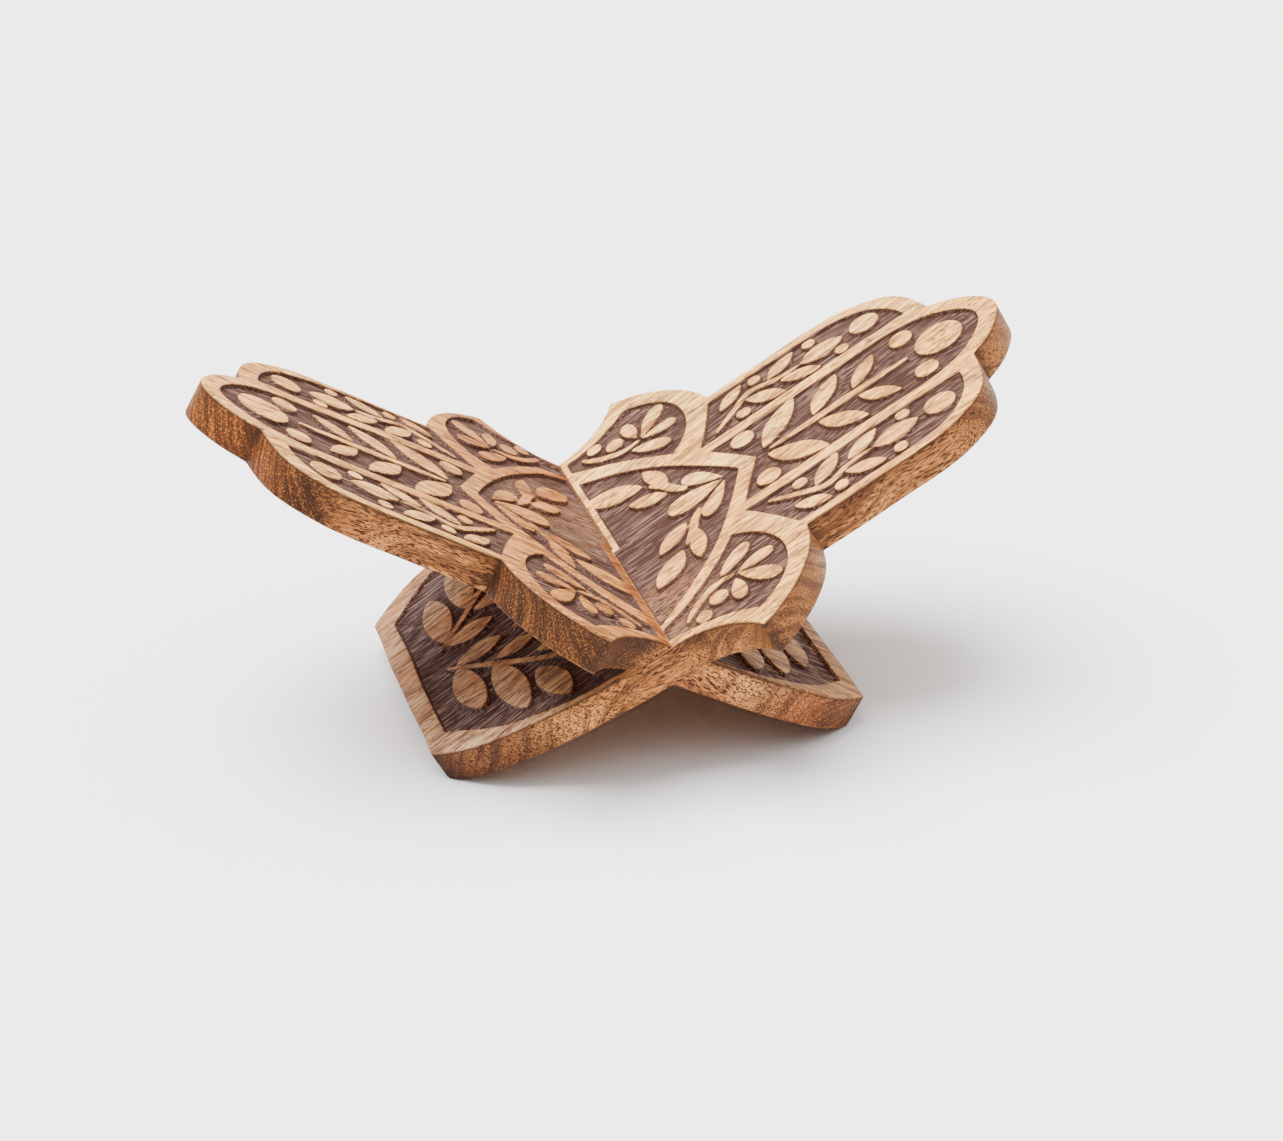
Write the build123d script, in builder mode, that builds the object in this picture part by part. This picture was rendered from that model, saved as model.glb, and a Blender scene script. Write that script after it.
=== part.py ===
from build123d import *

import os
from math import cos, radians, sin, tan

# A book stand of two equal carved boards. Each board has a hand-shaped wing above the crossing and a
# shield-shaped foot below it. Each is slotted half-way across, and the slots push into one another.
#
# Frame: origin on the floor under the crossing, +X towards the right wing, +Y away from the reader.
# Board frame: x runs from foot to wing tip, y across the board, z out of the carved face.

# ---- driving dimensions, in millimetres and degrees ----
board_thickness = 16
board_slope = 29.4            # of each board above the floor
wing_length = 206             # crossing axis to the tip of the middle finger
foot_length = 107             # crossing axis to the end that stands on the floor
waist_half_width = 100        # half the board's width at the crossing
floor_bevel_depth = 1.5       # the end's lower edge is planed off level with the floor by this much
slot_clearance = 0.3          # between a slot's wall and the face of the board in it
slot_end_gap = 0.3            # between the two slots' closed ends when the stand is together
carving_depth = 1.8
slot_rim = 3                  # plain border left beside the slot on the carved face
slotted_half_margin = 5       # plain border between the crossing and the foot's carving, beside the slot
whole_half_margin = 1         # and on the half with no slot

# ---- worked out from them ----
half_thickness = board_thickness / 2
slope = radians(board_slope)
axis_height = foot_length * sin(slope) + half_thickness * cos(slope) - floor_bevel_depth
# Where the other board's two faces meet this board's carved face, along x.
crossing_top_end = half_thickness * tan(slope)
crossing_foot_end = -half_thickness / tan(slope)

os.makedirs("parts", exist_ok=True)


# ---- shapes drawn inside a sketch ----
def beside_chord(start, end, bulge):
    """The point that far to the left of the middle of the line from start to end."""
    (x0, y0), (x1, y1) = start, end
    length = ((x1 - x0) ** 2 + (y1 - y0) ** 2) ** 0.5
    return (x0 + x1) / 2 - (y1 - y0) / length * bulge, (y0 + y1) / 2 + (x1 - x0) / length * bulge


def blade(start, end, left, right):
    """A shape pointed at both ends, between two arcs that pass left and right of its middle line."""
    with BuildLine() as border:
        ThreePointArc(start, beside_chord(start, end, left), end)
        ThreePointArc(end, beside_chord(start, end, -right), start)
    make_face(border.edges())


def leaf(tip, base, width):
    blade(tip, base, width / 2, width / 2)


def drop(tip, end, width):
    """A drop that is pointed at its tip and round at its other end."""
    (x0, y0), (x1, y1) = tip, end
    length = ((x1 - x0) ** 2 + (y1 - y0) ** 2) ** 0.5
    along = ((x1 - x0) / length, (y1 - y0) / length)
    radius = width / 2
    centre = (x1 - along[0] * radius, y1 - along[1] * radius)
    reach = length - radius
    # The sides touch the round end where they are tangent to it.
    back = radius * radius / reach
    out = radius * (1 - (radius / reach) ** 2) ** 0.5
    shoulder_left = (
        centre[0] - along[0] * back - along[1] * out,
        centre[1] - along[1] * back + along[0] * out,
    )
    shoulder_right = (
        centre[0] - along[0] * back + along[1] * out,
        centre[1] - along[1] * back - along[0] * out,
    )
    with BuildLine() as border:
        Line(tip, shoulder_left)
        ThreePointArc(shoulder_left, end, shoulder_right)
        Line(shoulder_right, tip)
    make_face(border.edges())


def dot(centre, radius):
    with Locations(centre):
        Circle(radius)


# ---- outline: one side of the board, then mirrored ----
thumb_corner = (41, 125)
thumb_notch = (80, 75)
finger_notch = (183, 30)


def board_outline():
    with BuildLine() as border:
        Line((-foot_length, 0), (-foot_length, 65))
        Spline((-foot_length, 65), (-88, 80), (-60, 90.5), (0, waist_half_width),
               tangents=((1, 0.95), (1, 0.1)))
        ThreePointArc((0, waist_half_width), (25, 106), thumb_corner)
        ThreePointArc(thumb_corner, (66, 105.5), thumb_notch)
        Line(thumb_notch, (130, 75))
        Spline((130, 75), (157, 71), (173, 60), finger_notch, tangents=((1, 0), (0.15, -1)))
        Spline(finger_notch, (198, 18.5), (wing_length, 0), tangents=((1, -0.5), (0, -1)))
        mirror(about=Plane.XZ)
    make_face(border.edges())


# ---- sunk grounds of the carving ----
def middle_finger_ground():
    half_width, shoulder = 28.5, 152
    with BuildLine() as border:
        Line((80.5, 0), (65, half_width))
        Line((65, half_width), (shoulder, half_width))
        EllipticalCenterArc((shoulder, 0), 44.5, half_width, start_angle=0, arc_size=90)
        mirror(about=Plane.XZ)
    make_face(border.edges())


def side_finger_ground(side):
    with BuildLine() as border:
        Line((62, side * 35.5), (172.5, side * 36.5))
        Spline((172.5, side * 36.5), (171, side * 45), (162, side * 60), (140, side * 69),
               tangents=((0, side), (-1, side * 0.1)))
        Line((140, side * 69), (78, side * 69))
        ThreePointArc((78, side * 69), (72, side * 55), (62, side * 35.5))
    make_face(border.edges())


def palm_ground():
    """It runs on to the crossing on the whole half, and stops at the slot's rim on the slotted half."""
    rim_start = crossing_top_end + slot_rim
    slotted_half_edge, whole_half_edge = 71, 81
    with BuildLine() as border:
        Polyline((crossing_top_end, -whole_half_edge), (crossing_top_end, -slot_rim),
                 (rim_start, -slot_rim), (rim_start, slotted_half_edge))
        Spline((rim_start, slotted_half_edge), (17.7, 65.2), (33.9, 52.5), (53.3, 28.2), (70.8, 0),
               tangents=((1, -0.5), (0.5, -1)))
        Spline((70.8, 0), (61.6, -18.1), (46.4, -41.3), (29.9, -58.8), (crossing_top_end, -whole_half_edge),
               tangents=((-0.45, -1), (-1, -0.95)))
    make_face(border.edges())


def thumb_ground(side):
    """side is 1 on the slotted half, where a rim stands beside the slot, and -1 on the whole half."""
    start = crossing_top_end + (slot_rim if side > 0 else 0)
    with BuildLine() as border:
        Line((start, side * 94.5), (start, side * 84.5))
        ThreePointArc((start, side * 84.5), (28, side * 69), (50.5, side * 46.5))
        ThreePointArc((50.5, side * 46.5), (66.5, side * 77), (43.3, side * 111))
        ThreePointArc((43.3, side * 111), (26, side * 99.5), (start, side * 94.5))
    make_face(border.edges())


def foot_ground():
    slotted_half_end = crossing_foot_end - slotted_half_margin
    whole_half_end = crossing_foot_end - whole_half_margin
    with BuildLine() as border:
        Polyline((whole_half_end, -95.6), (whole_half_end, 0), (slotted_half_end, 0),
                 (slotted_half_end, 95.6))
        Spline((slotted_half_end, 95.6), (-47, 89.8), (-73, 78), (-97.5, 55),
               tangents=((-1, -0.1), (-1, -0.95)))
        Line((-97.5, 55), (-97.5, -55))
        Spline((-97.5, -55), (-73, -78), (-47, -89.8), (whole_half_end, -95.6),
               tangents=((1, -0.95), (1, -0.1)))
    make_face(border.edges())


# ---- raised motifs left standing in the grounds, drawn on one half of the board ----
def middle_finger_motifs():
    dot((163.5, 18), 5.7)
    leaf((149, 20.5), (133, 4.2), 8.4)
    leaf((131, 24), (111.8, 4), 10.4)
    leaf((109, 27.5), (85.5, 4), 13.2)
    dot((79.6, 21.5), 5.8)


def side_finger_motifs():
    dot((156.8, 50.5), 7.3)
    leaf((145.3, 51), (122.3, 51), 12.6)
    dot((141.3, 41.2), 3.4)
    dot((131.5, 63.5), 3.3)
    blade((121, 51), (87.5, 53.5), -0.6, 3.8)
    blade((95, 54.5), (71.3, 39.5), -0.4, 3.2)
    leaf((123.5, 65.5), (106, 55.5), 8)
    leaf((128.5, 38.5), (110.5, 48), 8)
    leaf((109, 37), (92.6, 51.5), 8.6)
    leaf((95, 66.5), (80, 56), 7.4)
    dot((101.3, 62.8), 3.3)
    dot((88, 42), 3.6)


def palm_motifs():
    drop((63.5, 2), (48.3, 21.5), 9.6)
    leaf((46.5, 10.5), (31.5, 34), 3)
    leaf((40.5, 25), (34.5, 47.5), 8)
    leaf((38, 16), (20.5, 27), 9.4)
    leaf((30, 34.5), (12, 52), 12)


def thumb_motifs():
    drop((44, 78), (58.5, 96), 10)
    drop((44, 76.5), (62, 74.5), 9)
    drop((36.5, 71.5), (54, 59), 9.4)
    drop((40.5, 81), (37.5, 97), 7.8)
    dot((31.3, 85.5), 4.7)
    dot((22, 93), 3.8)
    blade((42, 76.5), (14.5, 90.5), 5.2, -2.4)


def foot_motifs():
    leaf((-56.3, 9.6), (-80, 9.6), 12.6)
    leaf((-43, 24.5), (-62.5, 24.5), 9.6)
    leaf((-84.7, 8.5), (-26, 67), 3.4)
    leaf((-80, 13.8), (-79.5, 55.5), 14)
    leaf((-64.5, 29), (-61, 76), 14.5)
    leaf((-49.7, 52), (-41, 86), 13)
    leaf((-31, 8.5), (-50.5, 8.5), 9.6)
    leaf((-28.5, 41), (-47.5, 38.5), 9.6)


# ---- the flat drawings that both boards are made from ----
with BuildSketch() as outline:
    board_outline()

with BuildSketch() as raised_motifs:
    middle_finger_motifs()
    side_finger_motifs()
    palm_motifs()
    thumb_motifs()
    foot_motifs()
    mirror(about=Plane.XZ)
    # On the centreline: the middle finger's disc and stem, and the palm's drop.
    dot((176.7, 0), 11.5)
    drop((160, 0), (86, 0), 4.6)
    drop((62, 0), (33.7, 0), 14)

with BuildSketch() as carved_ground:
    middle_finger_ground()
    palm_ground()
    foot_ground()
    for side in (1, -1):
        side_finger_ground(side)
        thumb_ground(side)
    add(raised_motifs.sketch, mode=Mode.SUBTRACT)


# ---- the boards ----
def board_plane(side):
    """The middle plane of a board whose wing rises towards +X, for side 1, or -X, for side -1."""
    return Plane(
        origin=(0, 0, axis_height),
        x_dir=(side * cos(slope), 0, sin(slope)),
        z_dir=(-side * sin(slope), 0, cos(slope)),
    )


def slot_plane(side):
    """The closed end of the slot, square to the crossing axis, with x along the other board."""
    return Plane(
        origin=(0, -side * slot_end_gap / 2, axis_height),
        x_dir=(-side * cos(slope), 0, sin(slope)),
        z_dir=(0, side, 0),
    )


def board(side):
    middle = board_plane(side)
    slot_length = waist_half_width + 30   # past the board's edge
    slot_section = (60, board_thickness + 2 * slot_clearance)
    with BuildPart() as blank:
        with BuildSketch(middle.offset(-half_thickness)):
            add(outline.sketch)
        extrude(amount=board_thickness)
        with BuildSketch(middle.offset(half_thickness - carving_depth)):
            add(carved_ground.sketch)
        extrude(amount=2 * carving_depth, mode=Mode.SUBTRACT)
        with BuildSketch(slot_plane(side)):
            Rectangle(*slot_section)
        extrude(amount=slot_length, mode=Mode.SUBTRACT)
        split(bisect_by=Plane.XY, keep=Keep.TOP)
    return blank


right_wing_board = board(1)
right_wing_board.part.label = "right_wing_board"
export_step(right_wing_board.part, "parts/right_wing_board.step")

left_wing_board = board(-1)
left_wing_board.part.label = "left_wing_board"
export_step(left_wing_board.part, "parts/left_wing_board.step")
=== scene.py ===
import math

import bpy
import numpy as np
from mathutils import Matrix, Vector
from mathutils.geometry import delaunay_2d_cdt

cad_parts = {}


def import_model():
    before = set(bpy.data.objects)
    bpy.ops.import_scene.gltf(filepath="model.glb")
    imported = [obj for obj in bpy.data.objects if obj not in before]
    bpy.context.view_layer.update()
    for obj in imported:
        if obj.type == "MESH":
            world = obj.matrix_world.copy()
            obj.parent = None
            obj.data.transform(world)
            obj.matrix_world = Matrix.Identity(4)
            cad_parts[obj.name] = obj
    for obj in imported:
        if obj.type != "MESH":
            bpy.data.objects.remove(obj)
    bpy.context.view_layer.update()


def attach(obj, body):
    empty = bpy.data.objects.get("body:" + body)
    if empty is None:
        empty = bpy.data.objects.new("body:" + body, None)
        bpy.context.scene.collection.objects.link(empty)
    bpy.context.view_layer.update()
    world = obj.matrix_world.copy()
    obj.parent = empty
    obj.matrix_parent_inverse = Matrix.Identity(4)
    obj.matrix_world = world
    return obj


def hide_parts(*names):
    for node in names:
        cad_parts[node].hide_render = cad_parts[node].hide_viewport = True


# A carved wooden book stand: two equal boards slotted together into an X. Each board is drawn flat, in
# millimetres, with x from its foot to its wing tip and y across it, then stood up on its CAD board's plane.

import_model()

# ---- the boards' driving dimensions, as in the CAD source, in millimetres and degrees ----
THICKNESS = 16.0
SLOPE = math.radians(29.4)
WING_LENGTH = 206.0
FOOT_LENGTH = 107.0
WAIST_HALF_WIDTH = 100.0
FLOOR_BEVEL_DEPTH = 1.5
SLOT_CLEARANCE = 0.3
SLOT_END_GAP = 0.3
CARVING_DEPTH = 1.8
HALF = THICKNESS / 2
AXIS_HEIGHT = FOOT_LENGTH * math.sin(SLOPE) + HALF * math.cos(SLOPE) - FLOOR_BEVEL_DEPTH
MM = 0.001

# Where the slot's mitred walls meet the two faces: the slot is the other board's slab plus a clearance.
SLOT_REACH = (HALF + SLOT_CLEARANCE) / math.sin(2 * SLOPE)
SLOT_SHIFT = HALF / math.tan(2 * SLOPE)
TOP_SLOT = (-SLOT_REACH - SLOT_SHIFT, SLOT_REACH - SLOT_SHIFT)
BOTTOM_SLOT = (-SLOT_REACH + SLOT_SHIFT, SLOT_REACH + SLOT_SHIFT)
CROSSING = HALF * math.tan(SLOPE)
FOOT_CROSSING = -HALF / math.tan(SLOPE)
# Where the underside meets the floor: beyond it, the foot's end is planed off level.
BEVEL_START = (HALF * math.cos(SLOPE) - AXIS_HEIGHT) / math.sin(SLOPE)

# ---- the relief's section: depth below the face against distance inside a raised edge ----
RELIEF_AT = (-1.45, -1.0, -0.8, -0.05, 0.08, 0.3)
RELIEF_DROP = (CARVING_DEPTH, 1.72, 1.5, 0.14, 0.03, 0.0)
CUT_BACK = 0.3                # the knife leaves the borders this much narrower than they were drawn

# ---- the board's rounded arrises ----
OUTLINE_ROUND = 0.7
SLOT_ROUND = 0.4
EDGE_FRACTIONS = (0.15, 0.5, 1.0)   # of the rounding's width, where it has a line of points
ROUNDED = 0.02                # a face that dips further than this belongs to the edge

# ---- the hand carver's unevenness: wavelength and size of each wave in the drawn lines ----
HAND_WAVES = ((90, 0.35), (37, 0.12))
# The lines are true up to the first distance from the crossing, and fully uneven from the second on.
STEADY, UNEVEN = 1, 13

# ---- sampling ----
GRID = 0.25
REACH = 4.0                   # how far from a line its distance field is worked out
GRID_LOW = np.array([-112.0, -131.0])
GRID_HIGH = np.array([211.0, 131.0])
SIMPLIFY = 0.02
LONGEST_SPAN = 9.0
WALL_ROWS = 7
SLOT_POINTS = (60, 14, 60)    # along the slot's foot wall, closed end and wing wall
SMOOTH_UP_TO = math.radians(38)

# The mesh's materials, in their order.
FACE, UNDERSIDE, EDGE, SLOT_WALL = range(4)

# Corners of the outline, as x, y and the size of the burnt patch, in millimetres.
SCORCHED_CORNERS = ((41, 125, 5), (80, 75, 5), (183, 30, 4), (-107, 65, 7))


# ---------------------------------------------------------------- flat shapes
def rise(value, start, full):
    """From 0 at start to 1 at full, in a straight line. full may be the lower of the two."""
    return np.clip((value - start) / (full - start), 0, 1)


def unit(vector):
    return vector / np.hypot(*vector)


def spaced(a, b, n):
    """n points from a up to, and not including, b."""
    a, b = np.array(a, float), np.array(b, float)
    return a + (b - a) * (np.arange(n) / n)[:, None]


def line(a, b, step=1.5):
    """Points from a up to, and not including, b, about that far apart."""
    return spaced(a, b, max(1, int(np.hypot(*np.subtract(b, a)) / step)))


def arc(a, middle, b, step=0.8):
    """Points along the arc from a through middle up to, and not including, b."""
    a, m, b = (np.array(p, float) for p in (a, middle, b))
    matrix = 2 * np.array([m - a, b - a])
    centre = np.linalg.solve(matrix, [m @ m - a @ a, b @ b - a @ a])
    radius = np.hypot(*(a - centre))
    start, mid, end = (math.atan2(*(p - centre)[::-1]) for p in (a, m, b))
    turn = (end - start) % (2 * math.pi)
    if (mid - start) % (2 * math.pi) > turn:
        turn -= 2 * math.pi
    n = max(4, int(abs(turn) * radius / step))
    angles = start + turn * np.arange(n) / n
    return centre + radius * np.stack([np.cos(angles), np.sin(angles)], 1)


def curve(points, start_way, end_way, step=1.0):
    """A smooth curve through the points, with the given directions at its ends, without its last point."""
    p = np.array(points, float)
    chords = np.hypot(*np.diff(p, axis=0).T)
    ways = np.zeros_like(p)
    ways[0], ways[-1] = unit(np.array(start_way, float)), unit(np.array(end_way, float))
    for i in range(1, len(p) - 1):
        ways[i] = unit((p[i + 1] - p[i]) / chords[i] ** 2 + (p[i] - p[i - 1]) / chords[i - 1] ** 2)
    pieces = []
    for i, chord in enumerate(chords):
        n = max(3, int(chord / step))
        t = (np.arange(n) / n)[:, None]
        h = (2 * t**3 - 3 * t**2 + 1, t**3 - 2 * t**2 + t, -2 * t**3 + 3 * t**2, t**3 - t**2)
        pieces.append(h[0] * p[i] + h[1] * chord * ways[i] + h[2] * p[i + 1] + h[3] * chord * ways[i + 1])
    return np.concatenate(pieces)


def mirrored(half):
    """A closed outline from its half on the +y side, which starts and ends on the centreline."""
    return np.concatenate([half, (half * [1, -1])[::-1]])


def blade(start, end, left, right, fullness=0.8):
    """A shape pointed at both ends that bulges left and right of its middle line."""
    a, b = np.array(start, float), np.array(end, float)
    across = unit(np.array([a[1] - b[1], b[0] - a[0]]))
    t = np.linspace(0, 1, 22)[:-1, None]
    bulge = np.sin(np.pi * t) ** fullness
    return np.concatenate([a + (b - a) * t + across * bulge * left, b + (a - b) * t - across * bulge * right])


def leaf(tip, base, width):
    return blade(tip, base, width / 2, width / 2)


def stalk(points, start_way, end_way, width):
    """A thin curved stem through the points, which tapers to a point at both ends."""
    centre = curve(points, start_way, end_way, 1.2)
    ways = np.gradient(centre, axis=0)
    across = np.stack([-ways[:, 1], ways[:, 0]], 1) / np.hypot(*ways.T)[:, None]
    t = np.linspace(0, 1, len(centre))[:, None]
    half = across * (width / 2) * np.sin(np.pi * np.clip(t, 0.001, 0.999)) ** 0.4
    return np.concatenate([centre + half, (centre - half)[::-1]])


def drop(tip, end, width, fullness=0.8):
    """A petal that is pointed at its tip and round at its other end."""
    a, b = np.array(tip, float), np.array(end, float)
    across = unit(np.array([a[1] - b[1], b[0] - a[0]]))
    t = (1 - np.cos(np.linspace(0, math.pi, 26))[:, None]) / 2
    half = t**fullness * np.sqrt(1 - t)
    side = across * half * (width / 2 / half.max())
    middle = a + (b - a) * t
    return np.concatenate([middle + side, (middle - side)[-2:0:-1]])


def dot(centre, radius, n=26):
    angles = np.arange(n)[:, None] * 2 * np.pi / n
    return np.array(centre) + radius * np.concatenate([np.cos(angles), np.sin(angles)], 1)


# ---------------------------------------------------------------- the carving
def half_shape(points):
    """A shape on the +y half and its mirror image."""
    return [points, points * [1, -1]]


def grounds(rim):
    """The sunk areas. rim is the plain border beside the slot, which is in the +y half."""
    rim_start = CROSSING + rim
    side_finger = np.concatenate([
        line((62, 35.5), (172.5, 36.5)),
        curve([(172.5, 36.5), (171, 45), (162, 60), (140, 69)], (0, 1), (-1, 0.1)),
        line((140, 69), (78, 69)),
        arc((78, 69), (72, 55), (62, 35.5)),
    ])
    middle_finger = mirrored(np.concatenate([
        line((80.5, 0), (65, 28.5)),
        line((65, 28.5), (152, 28.5)),
        curve([(152, 28.5), (183.5, 20.2), (196.5, 0)], (1, 0), (0, -1)),
        [(196.5, 0)],
    ]))
    palm = np.concatenate([
        line((CROSSING, -80), (CROSSING, -rim)),
        line((CROSSING, -rim), (rim_start, -rim)),
        line((rim_start, -rim), (rim_start, 71)),
        curve([(rim_start, 71), (17.7, 65.2), (33.9, 52.5), (53.3, 28.2), (70.8, 0)], (1, -0.5), (0.5, -1)),
        curve(
            [(70.8, 0), (61.6, -18.1), (46.4, -41.3), (29.9, -58.8), (CROSSING, -81)],
            (-0.45, -1), (-1, -0.95),
        ),
    ])
    # The foot's ground keeps further from the crossing on the half with the slot.
    slotted_half, whole_half = (np.concatenate([
        line((-97.5, 0), (-97.5, 55)),
        curve([(-97.5, 55), (-73, 78), (-47, 89.8), (top, 95.6)], (1, 0.95), (1, 0.1)),
        line((top, 95.6), (top, 0)),
        [(top, 0)],
    ]) for top in (FOOT_CROSSING - 5, FOOT_CROSSING - 1))
    foot = np.concatenate([slotted_half, (whole_half * [1, -1])[::-1]])
    thumbs = []
    for side, start in ((1, rim_start), (-1, CROSSING)):
        thumbs.append(np.concatenate([
            line((start, 94.5), (start, 84.5)),
            arc((start, 84.5), (28, 69), (50.5, 46.5)),
            arc((50.5, 46.5), (66.5, 77), (43.3, 111)),
            arc((43.3, 111), (26, 99.5), (start, 94.5)),
        ]) * [1, side])
    return [middle_finger, palm, foot, *thumbs, *half_shape(side_finger)]


def motifs():
    """The raised shapes left standing in the grounds."""
    one_side = [
        # middle finger
        dot((163.5, 18), 5.7),
        blade((149.3, 20.5), (133, 4.2), 3.8, 4.6),
        blade((131, 24.3), (111.8, 4), 4.6, 5.7),
        blade((109, 27.6), (85.5, 3.6), 5.6, 7),
        dot((79.6, 21.5), 5.8),
        # side finger
        dot((156.8, 50.5), 7.3),
        leaf((145.3, 51), (122.3, 51), 12.4),
        dot((141.3, 41.2), 3.4),
        dot((131.5, 63.5), 3.3),
        stalk([(121, 50.8), (108, 52), (97, 55.8), (85, 49), (71, 39.3)], (-1, 0), (-1, -0.6), 3.4),
        leaf((123.5, 65.5), (106, 55.5), 8),
        leaf((128.5, 38.5), (110.5, 48), 8),
        leaf((109, 37), (92.6, 51.3), 8.6),
        leaf((95, 66.5), (80, 56), 7.4),
        dot((101.3, 62.8), 3.3),
        dot((88, 42), 3.6),
        # palm
        drop((62.8, 1.8), (47.2, 20.6), 8.8, 1.1),
        stalk([(46.5, 10.3), (41.5, 18.5), (38.5, 25), (32, 33.5)], (-0.4, 1), (-0.7, 1), 4.4),
        leaf((40.5, 25), (34.5, 47.5), 8),
        leaf((38, 16), (20.5, 27), 9.4),
        # thumb
        drop((43.5, 77.5), (59, 96), 8.6, 1.0),
        drop((44, 76), (62, 74.3), 7.6, 1.0),
        drop((36.5, 71.5), (54, 59), 8.2),
        drop((41.5, 80.5), (39.5, 96.5), 7.0),
        dot((31.3, 85.5), 4.5),
        dot((22, 93), 3.8),
        stalk([(42, 76.2), (33, 75.6), (24, 80), (14, 91)], (-1, -0.1), (-0.6, 1), 3.6),
        # foot
        leaf((-56.3, 9.6), (-80, 9.6), 12.4),
        leaf((-43, 24.5), (-62.5, 24.5), 9.6),
        stalk([(-84.7, 8.6), (-72.5, 19.6), (-45.8, 46.3), (-27, 61)], (1, 0.7), (1, 0.7), 3.2),
        blade((-80.5, 14), (-78.5, 55.2), 6.9, 6.9, 0.62),
        blade((-65, 29.3), (-61, 75.7), 7.1, 7.1, 0.62),
        blade((-49.7, 52.5), (-42, 85), 6.4, 6.4, 0.62),
        leaf((-31, 8.5), (-50.5, 8.5), 9.6),
        leaf((-27, 41), (-46, 38.5), 9.6),
    ]
    both = [shape for points in one_side for shape in half_shape(points)]
    # The disc, stem and drop on the centreline, and the palm's two lowest leaves, which differ.
    return both + [
        dot((176.7, 0), 11.5),
        stalk([(160.5, 0), (124, 0), (86, 0)], (-1, 0), (-1, 0), 4.4),
        drop((62, 0), (33.7, 0), 13.4, 1.1),
        leaf((30.5, 35.5), (4, 51), 14),
        leaf((30, -34.5), (12, -52), 12),
    ]


def hand_wobble(points, seed):
    """The points moved a little and smoothly, as a hand carver's lines are, except at the crossing."""
    rng = np.random.default_rng(seed)
    moved = np.array(points, float)
    fade = rise(np.abs(points[:, 0] - CROSSING), STEADY, UNEVEN)
    for wavelength, size in HAND_WAVES:
        for axis in (0, 1):
            way = rng.uniform(0, 2 * math.pi)
            phase = rng.uniform(0, 2 * math.pi)
            along = points @ [math.cos(way), math.sin(way)]
            moved[:, axis] += size * fade * np.sin(2 * math.pi * along / wavelength + phase)
    return moved


# ---------------------------------------------------------------- the board's outline
def outline_half():
    """The edge on the +y side, from the middle of the foot's end to the tip of the middle finger."""
    foot_corner, waist, thumb = (-FOOT_LENGTH, 65), (0, WAIST_HALF_WIDTH), (41, 125)
    thumb_notch, finger_notch = (80, 75), (183, 30)
    return np.concatenate([
        line((-FOOT_LENGTH, 0), foot_corner),
        curve([foot_corner, (-88, 80), (-60, 90.5), waist], (1, 0.95), (1, 0.1)),
        arc(waist, (25, 106), thumb),
        arc(thumb, (66, 105.5), thumb_notch),
        line(thumb_notch, (130, 75)),
        curve([(130, 75), (157, 71), (173, 60), finger_notch], (1, 0), (0.15, -1)),
        curve([finger_notch, (198, 18.5), (WING_LENGTH, 0)], (1, -0.5), (0, -1)),
        [(WING_LENGTH, 0)],
    ])


def softened(points, radius=0.7, step=0.45):
    """The closed outline with evenly spaced points and its corners rounded a little."""
    closed = np.concatenate([points, points[:1]])
    along = np.concatenate([[0], np.cumsum(np.hypot(*np.diff(closed, axis=0).T))])
    n = int(along[-1] / step)
    at = np.arange(n) * along[-1] / n
    even = np.stack([np.interp(at, along, closed[:, k]) for k in (0, 1)], 1)
    spread = 6
    offsets = np.arange(-spread, spread + 1)
    weights = np.exp(-0.5 * (offsets * step / radius) ** 2)
    return sum(w * np.roll(even, o, 0) for o, w in zip(offsets, weights / weights.sum()))


def edge_loops(outline):
    """The board's edge with its slot, as matching loops of points on the carved face and the underside."""
    reach = BOTTOM_SLOT[1] + 3    # the two loops differ within this distance of the crossing
    slot_end = -SLOT_END_GAP / 2
    near = outline[(outline[:, 1] > 0) & (np.abs(outline[:, 0]) < reach + 6)]
    near = near[np.argsort(near[:, 0])]
    mouth = (outline[:, 1] > 0) & (np.abs(outline[:, 0]) <= reach)
    last = np.flatnonzero(mouth & ~np.roll(mouth, -1))[0]
    shared = np.roll(outline, -last - 1, 0)[: np.count_nonzero(~mouth)]

    def waist(start, end, n=30):
        x = spaced((start, 0), (end, 0), n)[:, 0]
        return np.stack([x, np.interp(x, near[:, 0], near[:, 1])], 1)

    loops = []
    for low, high in (TOP_SLOT, BOTTOM_SLOT):
        foot_corner, wing_corner = waist(low, high)[0], waist(high, reach)[0]
        loops.append(np.concatenate([
            waist(high, reach),
            shared,
            waist(-reach, low),
            spaced(foot_corner, (low, slot_end), SLOT_POINTS[0]),
            spaced((low, slot_end), (high, slot_end), SLOT_POINTS[1]),
            spaced((high, slot_end), wing_corner, SLOT_POINTS[2]),
        ]))
    return loops


# ---------------------------------------------------------------- distance fields and their contours
GRID_SIZE = np.ceil((GRID_HIGH - GRID_LOW) / GRID).astype(int) + 1


def grid_window(low, high):
    """Index ranges of the grid points between two corners."""
    a = np.maximum(np.floor((low - GRID_LOW) / GRID).astype(int), 0)
    b = np.minimum(np.ceil((high - GRID_LOW) / GRID).astype(int) + 1, GRID_SIZE)
    return a, b


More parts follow.
